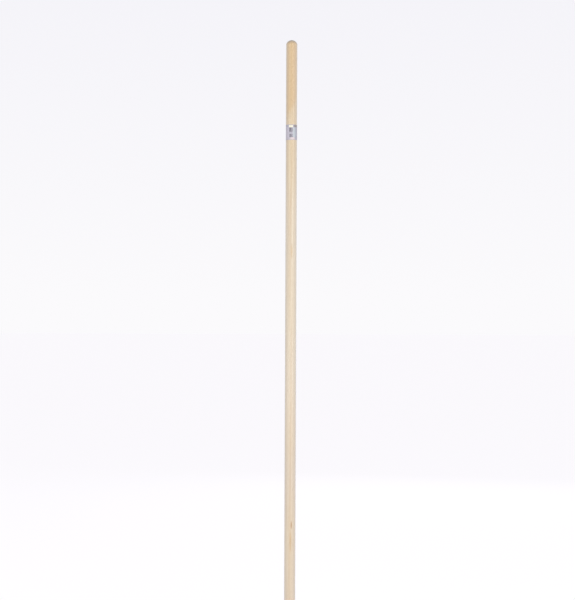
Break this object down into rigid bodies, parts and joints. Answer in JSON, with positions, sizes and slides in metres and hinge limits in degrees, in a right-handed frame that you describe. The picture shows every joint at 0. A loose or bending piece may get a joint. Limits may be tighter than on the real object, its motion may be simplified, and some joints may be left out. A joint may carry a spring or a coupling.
{
  "type": "roller extension pole",
  "caption": "Straight round wooden pole with a domed free end, a wrap-around label near it, and a die-cast male-threaded tip that screws into a paint roller frame.",
  "frame": {"origin": "centre of the threaded tip's end face, where the pole enters a roller frame's socket", "axes": "+Z along the pole from the threaded tip to the domed wooden end; -Y is the side the label's print faces"},
  "size_m": [0.0224, 0.0223, 1.2192],
  "materials": {
    "lacquered_hardwood": "pale straight-grained hardwood, sanded and sealed with clear satin lacquer",
    "die_cast_zinc": null,
    "nail_steel": "bright drawn steel wire, zinc flashed",
    "label_film": null
  },
  "bodies": {
    "root": {"shaft": "lacquered_hardwood", "threaded_tip": "die_cast_zinc", "front_tip_nail": "nail_steel", "rear_tip_nail": "nail_steel", "label": "label_film"}
  },
  "joints": []
}
